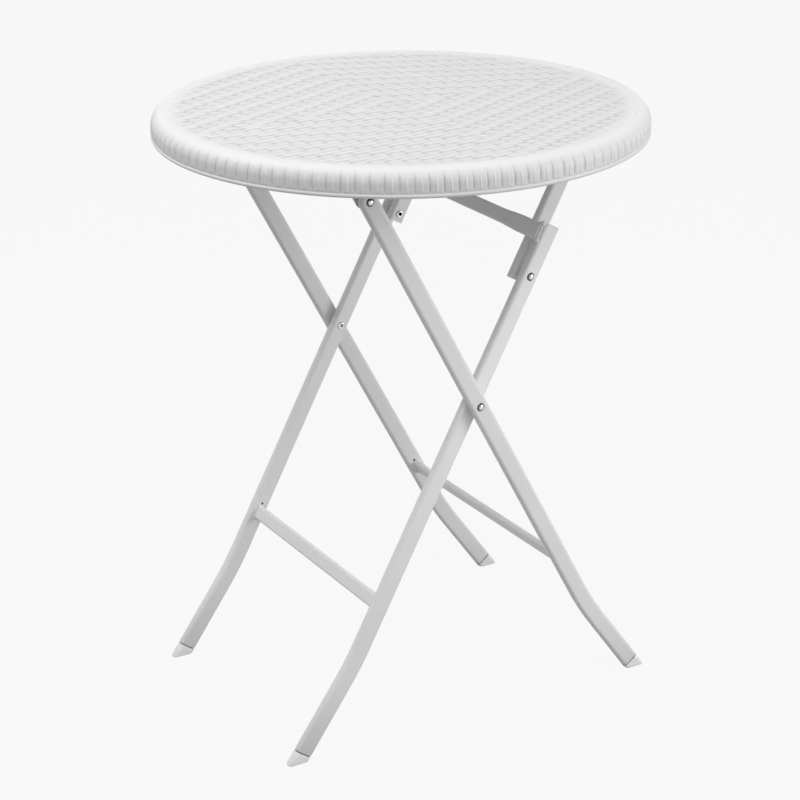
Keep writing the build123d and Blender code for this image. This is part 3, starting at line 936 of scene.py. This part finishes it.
def rail_stops(end):
    """Stops of the stop rail, pressed flat and wide where it lies on the legs' upper edges."""
    side, depth = lie_of(INNER_UP)
    steps = 10
    run = [(end - 0.5 * MM, 1.0)]
    for step in range(steps, -1, -1):
        share = step / steps
        ease = share * share * (3 - 2 * share)
        run.append((end - RAIL_END_RUN - RAIL_TAPER_RUN * (1 - share), ease))
    half = []
    for x, flat in run:
        width = BAR_WIDTH + (RAIL_END_WIDTH - BAR_WIDTH) * flat
        thick = BAR_THICK + (RAIL_END_THICK - BAR_THICK) * flat
        rise = depth * (LEG_WIDTH + thick) / 2
        half.append((x, rise, side * width / BAR_WIDTH, depth * thick / BAR_THICK))
    x, rise, wide, thick = half[0]
    closing = [(end, rise, Vector(), Vector()), (end, rise, wide * 0.97, thick * 0.86)]
    return mirrored(RAIL_CENTRE, closing + half)


def make_frame(name, top, up, reach, foot_side, head_stops):
    """Make the legs, the feet and the lower bar of one of the two frames."""
    body, bar = f"{name}_frame", f"{name}_lower_bar"
    path = leg_path(up, foot_side)
    ring = tube_ring(LEG_WIDTH, LEG_THICK)
    for side_name, side in SIDES.items():
        x = side * reach
        leg, foot = f"{name}_leg_{side_name}", f"{name}_foot_{side_name}"
        tube(f"coated_{leg}", head_stops(x, top, up) + path_stops(x, path), ring,
             "frame_coat", body, leg)
        tube(f"moulded_{foot}", foot_stops(x, *path[-1]), ring, "foot_plastic", body, foot)
    tube(f"coated_{name}_bar", bar_stops(middle_of(bar).yz, up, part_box(bar)[1].x),
         tube_ring(BAR_WIDTH, BAR_THICK), "frame_coat", body, bar)


class TABLE_OT_outer_frame(bpy.types.Operator):
    """Make the outer legs with their round tops, their lower bar and feet"""

    bl_idname = "table.outer_frame"
    bl_label = "Outer frame"

    def execute(self, context):
        make_frame("outer", OUTER_HINGE, OUTER_UP, OUTER_X, 1, round_end)
        return {"FINISHED"}


class TABLE_OT_inner_frame(bpy.types.Operator):
    """Make the inner legs with their cut tops, their rail, lower bar and feet"""

    bl_idname = "table.inner_frame"
    bl_label = "Inner frame"

    def execute(self, context):
        make_frame("inner", INNER_TOP, INNER_UP, INNER_X, -1, square_end)
        tube("coated_stop_rail", rail_stops(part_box("inner_top_rail")[1].x),
             tube_ring(BAR_WIDTH, BAR_THICK), "frame_coat", "inner_frame", "inner_top_rail")
        return {"FINISHED"}


class TABLE_OT_links(bpy.types.Operator):
    """Coat the links"""

    bl_idname = "table.links"
    bl_label = "Links"

    def execute(self, context):
        dress(both("link"), "frame_coat")
        return {"FINISHED"}


# Hardware


def copy_nodes(build, given):
    """One shape on every point of a helper mesh, turned as the point says."""
    return build.on_points(given["Places"], build.shape_of(given["Shape"]),
                           Rotation=build.named("turn", "FLOAT_VECTOR"))


def placed(name, places, shape, finish, body, *nodes):
    """Copies of a shape at (place, turn) pairs, as one piece on a body."""
    points, turns = zip(*places)
    piece = made_by(copy_nodes, name, finish, {
        "Places": helper_mesh("places", points, turn=turns), "Shape": shape}, SHAPE_CREASE)
    settle(piece, body, finish, *nodes)


def facing(side):
    """The turn of a shape that is made to face right, so that it faces the given side."""
    return (0, 0, 0) if side > 0 else (0, 0, math.pi)


def ring_faces(rings, steps):
    """Quads between rings of points that follow each other."""
    faces = []
    for first in range(0, (rings - 1) * steps, steps):
        for step in range(steps):
            ahead = (step + 1) % steps
            faces.append((first + step, first + ahead, first + steps + ahead, first + steps + step))
    return faces


def turned_shape(name, profile, steps):
    """A helper shape turned about X from (along, radius, painted shade) points in millimetres."""
    points, shades = [], []
    for along, radius, shade in profile:
        shades += [shade] * steps
        for step in range(steps):
            angle = 2 * math.pi * step / steps
            points.append(MM * Vector((along, radius * math.cos(angle), radius * math.sin(angle))))
    shape = helper_mesh(name, points, ring_faces(len(profile), steps), hollow=shades)
    facing_out(shape.data, SHAPE_SEAM)
    return shape


def rivet_head():
    """A domed head on a short shank, with a painted reflection: light in its middle, dark towards
    its rim.
    """
    profile = [(-5, 0, 1), (-5, 3, 1), (0, 3, 1), (0, HEAD_RADIUS, 1)]
    steps = 8
    for step in range(steps):
        share = math.cos(math.radians(90) * (step + 1) / steps)
        radius = HEAD_RADIUS * share
        rise = HEAD_HEIGHT - DOME_RADIUS + math.sqrt(DOME_RADIUS**2 - radius**2)
        profile.append((rise, radius, min(1, 0.1 + (1.3 * share) ** 3)))
    return turned_shape("rivet_head", profile, RIVET_STEPS)


def rivet_tail():
    """A clenched tail, open in its middle, on a short shank, with painted shade down its hole and a
    painted highlight on its rolled ring.
    """
    profile = [(5, 0, 1), (5, 3, 1), (0, 3, 1), (0, 4.4, 0.9), (-0.5, 4.4, 0.5), (-1.2, 4.1, 0.1),
               (-1.7, 3.6, 0), (-TAIL_HEIGHT, 3.1, 0), (-1.8, 2.7, 0.3), (-1.4, 2.35, 0.8),
               (-0.8, 2.2, 1), (3, 2.2, 1), (3, 0, 1)]
    return turned_shape("rivet_tail", profile, RIVET_STEPS)


def rivet_places(names, headed):
    """Where the heads or the tails of the named rivets sit, on both sides."""
    places = []
    for name in names:
        low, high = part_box(f"{name}_right")
        seat = high.x - HEAD_HEIGHT * MM if headed else low.x + TAIL_HEIGHT * MM
        centre = middle_of(f"{name}_right").yz
        places += [(in_space(side * seat, centre), facing(side)) for side in SIDES.values()]
    return places


class TABLE_OT_rivets(bpy.types.Operator):
    """Make the rivets with their domed heads and clenched tails"""

    bl_idname = "table.rivets"
    bl_label = "Rivets"

    def execute(self, context):
        groups = {
            "outer_frame": (["outer_pivot_rivet", "scissor_rivet_head"], ["outer_pivot_rivet"]),
            "inner_frame": (["link_pivot_rivet"], ["link_pivot_rivet", "scissor_rivet_tail"]),
            "links": (["link_top_rivet"], ["link_top_rivet"])}
        for body, (headed, tailed) in groups.items():
            tail_only = [name for name in tailed if name not in headed]
            placed(f"{body}_rivet_heads", rivet_places(headed, True), rivet_head(),
                   "rivet_metal", body, *both(*headed))
            placed(f"{body}_rivet_tails", rivet_places(tailed, False), rivet_tail(),
                   "rivet_metal", body, *both(*tail_only))
        return {"FINISHED"}


def vent_hole():
    """The coated edge of a small hole drilled in a tube, on a thin disc whose dark mouth is painted
    shade.
    """
    profile = [(0.04, 0, 1.1), (0.04, 1.5, 1.1), (0.14, 1.7, 0.6), (0.1, 2.0, 0), (-0.4, 2.2, 0),
               (-0.4, 0, 0)]
    return turned_shape("vent_hole", profile, VENT_STEPS)


class TABLE_OT_vent_holes(bpy.types.Operator):
    """Make the small vent holes on the legs above the lower bars, with painted shade for their
    mouths
    """

    bl_idname = "table.vent_holes"
    bl_label = "Vent holes"

    def execute(self, context):
        for name, up, reach in (("outer", OUTER_UP, OUTER_X), ("inner", INNER_UP, INNER_X)):
            centre = middle_of(f"{name}_lower_bar").yz + up * VENT_RISE
            face = reach - LEG_THICK / 2
            places = [(in_space(side * face, centre), facing(-side)) for side in SIDES.values()]
            placed(f"{name}_vent_holes", places, vent_hole(), "frame_coat", f"{name}_frame")
        return {"FINISHED"}


def screw_head():
    """A pan head with a cross recess on a short shank."""
    outline = [(-2, 0), (-2, 2.1), (0, 2.1), (0, 4.2), (0.7, 4.2), (1.4, 3.95), (1.95, 3.4),
               (2.28, 2.6), (2.4, 1.6), (2.4, 0)]
    profile = [(along, radius, 0) for along, radius in outline]
    head = turned_shape("screw_head", profile, SCREW_STEPS)
    corners = []
    for along, half in ((0.9, 0.3), (2.6, 0.55)):
        reach = 1.5 + half
        arm = [(half, half), (reach, half), (reach, -half)]
        for quarter in range(4):
            corners += [(along * MM, a * MM, b * MM) for a, b in arm]
            arm = [(b, -a) for a, b in arm]
    count = len(corners) // 2
    ends = [tuple(range(count)), tuple(range(2 * count - 1, count - 1, -1))]
    cross = helper_mesh("cross_recess", corners, ends + ring_faces(2, count))
    facing_out(cross.data)
    cut = head.modifiers.new("Recess", "BOOLEAN")
    cut.operation = "DIFFERENCE"
    cut.object = cross
    keep_result(head, cut)
    drop(cross)
    return head


class TABLE_OT_screws(bpy.types.Operator):
    """Make the cross-headed screws that hold the brackets"""

    bl_idname = "table.screws"
    bl_label = "Bracket screws"

    def execute(self, context):
        places = []
        for name in both("outer_bracket", "link_bracket"):
            low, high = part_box(name)
            side = SIDES[name.rsplit("_", 1)[1]]
            x = (high.x if side > 0 else low.x) - side * SCREW_SET_IN
            for step in (-SCREW_STEP, SCREW_STEP):
                place = Vector((x, middle_of(name).y + step, high.z - SCREW_SEAT))
                places.append((place, (SCREW_TURN * len(places), math.radians(90), 0)))
        placed("cross_headed_screws", places, screw_head(), "zinc_steel", "top", "bracket_screws")
        return {"FINISHED"}


def bead_nodes(build, given):
    """Overlapping uneven beads on the points of a helper mesh."""
    bead = build.get("GeometryNodeMeshUVSphere", {
        "Segments": 8, "Rings": 5, "Radius": given["Bead"]})
    uneven = build.get("FunctionNodeRandomValue", {
        0: (0.75, 0.75, 0.75), 1: (1.25, 1.25, 1.25), "Seed": given["Seed"]},
        data_type="FLOAT_VECTOR")
    size = build.get("ShaderNodeVectorMath", {0: uneven, "Scale": build.named("size", "FLOAT")},
                     operation="SCALE")
    return build.on_points(given["Places"], bead, Scale=size)


def bar_weld_places(bar, up):
    """Points round both ends of a lower bar, each with the size of its bead."""
    centre, end = middle_of(bar).yz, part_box(bar)[1].x
    side, depth = lie_of(up)
    ring = tube_ring(BAR_WIDTH + WELD_WIDE, BAR_THICK + WELD_THICK)
    spaced = [ring[0]]
    for number, point in enumerate(ring):
        before = ring[number - 1]
        count = max(1, round((point - before).length / WELD_SPACING))
        spaced += [before.lerp(point, step / count) for step in range(1, count)]
        if (point - spaced[-1]).length > WELD_GAP:
            spaced.append(point)
    return [(in_space(turn * (end - WELD_REACH), centre) + side * point.x + depth * point.y, 1.0)
            for turn in SIDES.values() for point in spaced]


def rail_weld_places():
    """Points where the ends of the rail lie on the legs, each with the size of its bead."""
    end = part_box("inner_top_rail")[1].x
    side, depth = lie_of(INNER_UP)
    steps = 12
    run = [(WELD_REACH, step / steps - 0.5, 1.0) for step in range(steps + 1)]
    for edge in (-0.5, 0.5):
        for out, size in ((0.4, 1.7), (-0.9, 1.5), (-2.4, 1.0), (-4.0, 1.0), (-5.7, 0.9)):
            run.append((out * MM, edge, size))
    seat = depth * (LEG_WIDTH / 2 + RAIL_WELD_LIFT)
    places = []
    for turn in SIDES.values():
        for out, share, size in run:
            place = in_space(turn * (end + out), RAIL_CENTRE)
            places.append((place + side * RAIL_END_WIDTH * share + seat, size))
    return places


class TABLE_OT_welds(bpy.types.Operator):
    """Lay the weld beads where the bars and the rail meet the legs"""

    bl_idname = "table.welds"
    bl_label = "Weld beads"

    def execute(self, context):
        bead = context.scene.table_frame_settings.bead_size
        groups = (
            ("outer_bar_welds", bar_weld_places("outer_lower_bar", OUTER_UP), bead, "outer_frame"),
            ("inner_bar_welds", bar_weld_places("inner_lower_bar", INNER_UP), bead, "inner_frame"),
            ("rail_welds", rail_weld_places(), bead * RAIL_BEAD, "inner_frame"))
        for name, places, size, body in groups:
            points, sizes = zip(*places)
            welds = made_by(bead_nodes, name, "frame_coat", {
                "Places": helper_mesh("places", points, size=sizes), "Bead": size,
                "Seed": WELD_SEED})
            settle(welds, body, "frame_coat")
        return {"FINISHED"}


class TABLE_OT_plastics(bpy.types.Operator):
    """Finish the plugs, spacers and washers"""

    bl_idname = "table.plastics"
    bl_label = "Plugs and spacers"

    def execute(self, context):
        dress(both("inner_top_plug", "link_plug"), "foot_plastic")
        dress(both("scissor_spacer", "link_spacer", "outer_pivot_washer"), "spacer_plastic")
        return {"FINISHED"}


class TABLE_OT_brackets(bpy.types.Operator):
    """Finish the hinge brackets"""

    bl_idname = "table.brackets"
    bl_label = "Hinge brackets"

    def execute(self, context):
        dress(both("outer_bracket", "link_bracket"), "zinc_steel")
        return {"FINISHED"}


# Stage

WHITE = (1, 1, 1, 1)


def seen_directly(build):
    """One for the camera, for gloss and for glass, and none for light that falls on things."""
    path = build.outputs("ShaderNodeLightPath")
    direct = path["Is Camera Ray"] + path["Is Glossy Ray"] + path["Is Transmission Ray"]
    return build.clamp(direct, 0.0, 1.0)


def studio_world(stage):
    """Even light on the table in front of a pale background."""
    world = bpy.data.worlds.new("studio")
    build = emptied(world)
    even = build.get("ShaderNodeBackground", {"Color": WHITE, "Strength": stage.ambient})
    shown = build.get("ShaderNodeBackground", {"Color": WHITE, "Strength": stage.backdrop})
    mix = build.get("ShaderNodeMixShader", {0: seen_directly(build), 1: even, 2: shown})
    build.add("ShaderNodeOutputWorld", {0: mix})
    return world


def pale_floor(stage):
    """A wide floor that looks as pale as the background and keeps a faint shadow."""
    mesh = bpy.data.meshes.new("floor")
    corners = [(x * FLOOR_HALF, y * FLOOR_HALF, 0) for x, y in ((-1, -1), (1, -1), (1, 1), (-1, 1))]
    mesh.from_pydata(corners, [], [(0, 1, 2, 3)])
    material = bpy.data.materials.new("pale_floor")
    build = emptied(material)
    plain = build.get("ShaderNodeEmission", {"Color": WHITE, "Strength": stage.backdrop})
    bounce = build.get("ShaderNodeBsdfDiffuse", {"Color": (*stage.floor_colour, 1)})
    pale = build.get("ShaderNodeBsdfDiffuse", {"Color": (0.9, 0.9, 0.9, 1)})
    shown = build.get("ShaderNodeMixShader", {0: stage.floor_evenness, 1: pale, 2: plain})
    mix = build.get("ShaderNodeMixShader", {0: seen_directly(build), 1: bounce, 2: shown})
    build.add("ShaderNodeOutputMaterial", {0: mix})
    mesh.materials.append(material)
    return new_object("floor", mesh)


def area_light(name, place, aim_height, size, power):
    """A square softbox that faces a point above the middle of the floor."""
    lamp = bpy.data.lights.new(name, "AREA")
    lamp.shape = "SQUARE"
    lamp.size = size
    lamp.energy = power
    holder = new_object(name, lamp)
    holder.location = place
    aim = Vector((0, 0, aim_height)) - Vector(place)
    holder.rotation_euler = aim.to_track_quat("-Z", "Y").to_euler()


def photo_camera(stage):
    """A camera at the viewing angle of the stage settings."""
    turn, lift, roll = stage.azimuth, stage.elevation, stage.roll
    back = Vector((
        math.sin(turn) * math.cos(lift), -math.cos(turn) * math.cos(lift), math.sin(lift)))
    right = Vector((math.cos(turn), math.sin(turn), 0))
    up = back.cross(right)
    right_axis = right * math.cos(roll) - up * math.sin(roll)
    up_axis = right * math.sin(roll) + up * math.cos(roll)
    place = Vector((0, 0, stage.aim_height)) + right * stage.side_step + back * stage.distance
    lens = bpy.data.cameras.new("camera")
    lens.sensor_fit = "HORIZONTAL"
    lens.sensor_width = SENSOR_WIDTH
    lens.lens = stage.lens
    camera = new_object("camera", lens)
    axes = Matrix((right_axis, up_axis, back)).transposed().to_4x4()
    camera.matrix_world = Matrix.Translation(place) @ axes
    return camera


class TABLE_OT_stage(bpy.types.Operator):
    """Set the floor, the lights and the camera"""

    bl_idname = "table.stage"
    bl_label = "Stage"

    def execute(self, context):
        scene = context.scene
        stage = scene.table_stage_settings
        scene.view_settings.view_transform = "Standard"
        scene.world = studio_world(stage)
        pale_floor(stage)
        area_light("overhead_softbox", (0.2, 0.3, 2.5), 0.7, 2.2, stage.overhead_power)
        area_light("high_left_softbox", (-0.6, -0.9, 2.3), 0.7, 1.8, stage.high_left_power)
        area_light("right_softbox", (1.7, 1.7, 0.75), 0.45, 1.3, stage.right_power)
        area_light("front_softbox", (1.5, -0.9, 2.5), 0.45, 1.3, stage.front_power)
        scene.camera = photo_camera(stage)
        return {"FINISHED"}


class TABLE_PT_sidebar(bpy.types.Panel):
    """Lists the table's settings and steps"""

    bl_label = "Folding table"
    bl_idname = "TABLE_PT_sidebar"
    bl_space_type = "VIEW_3D"
    bl_region_type = "UI"
    bl_category = "Table"

    def draw(self, context):
        for key in SETTINGS:
            settings = getattr(context.scene, key)
            box = self.layout.box()
            for name in settings.__annotations__:
                box.prop(settings, name)
        for step in STEPS:
            self.layout.operator(step.bl_idname)


SETTINGS = {
    "table_top_settings": TopSettings,
    "table_frame_settings": FrameSettings,
    "table_stage_settings": StageSettings,
}
STEPS = (
    TABLE_OT_woven_panel, TABLE_OT_wrapped_rim, TABLE_OT_top_pan, TABLE_OT_outer_frame,
    TABLE_OT_inner_frame, TABLE_OT_links, TABLE_OT_welds, TABLE_OT_plastics, TABLE_OT_rivets,
    TABLE_OT_vent_holes, TABLE_OT_screws, TABLE_OT_brackets, TABLE_OT_stage)
CLASSES = (*SETTINGS.values(), *STEPS, TABLE_PT_sidebar)


def register():
    for cls in CLASSES:
        bpy.utils.register_class(cls)
    for key, group in SETTINGS.items():
        setattr(bpy.types.Scene, key, bpy.props.PointerProperty(type=group))


def unregister():
    for key in SETTINGS:
        delattr(bpy.types.Scene, key)
    for cls in reversed(CLASSES):
        bpy.utils.unregister_class(cls)


def main():
    """Make every piece in order."""
    register()
    bpy.ops.table.woven_panel()
    bpy.ops.table.wrapped_rim()
    bpy.ops.table.top_pan()
    bpy.ops.table.outer_frame()
    bpy.ops.table.inner_frame()
    bpy.ops.table.links()
    bpy.ops.table.welds()
    bpy.ops.table.plastics()
    bpy.ops.table.rivets()
    bpy.ops.table.vent_holes()
    bpy.ops.table.screws()
    bpy.ops.table.brackets()
    bpy.ops.table.stage()


if __name__ == "__main__":
    main()
